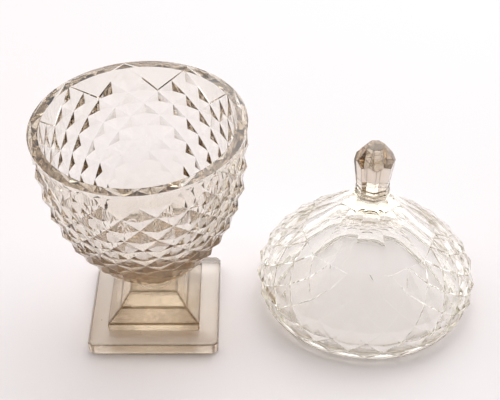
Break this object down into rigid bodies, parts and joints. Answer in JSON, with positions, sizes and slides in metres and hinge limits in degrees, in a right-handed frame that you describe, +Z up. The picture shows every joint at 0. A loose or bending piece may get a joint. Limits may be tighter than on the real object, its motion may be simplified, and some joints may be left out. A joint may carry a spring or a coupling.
{
  "type": "covered cut-glass urn",
  "caption": "Covered glass urn: diamond-cut ovoid bowl on a stepped square foot, with its domed, cut cover and faceted knob standing beside it.",
  "frame": {"origin": "centre of the foot's underside, on the table", "axes": "+Z up along the urn's axis, +X towards the cover that stands beside the urn, X and Y square to the foot's sides"},
  "size_m": [0.2682, 0.1534, 0.1502],
  "materials": {
    "foot_glass": "press-moulded straw-tinted glass, slightly satin, rubbed edges",
    "bowl_glass": "hand-cut and polished straw-tinted glass with a ground rim",
    "lid_glass": "thin blown and cut glass, polished, faint cream tint",
    "finial_glass": "solid cut and polished straw-tinted glass"
  },
  "bodies": {
    "urn": {"base_plate": "foot_glass", "pedestal": "foot_glass", "stem": "foot_glass", "bowl": "bowl_glass"},
    "lid": {"lid_dome": "lid_glass", "lower_collar": "finial_glass", "upper_collar": "finial_glass", "knob": "finial_glass"}
  },
  "joints": [
    {"name": "lid_lift", "type": "slide", "parent": "urn", "child": "lid", "axis": [0, 0, 1], "range_m": [0, 0.17]}
  ]
}
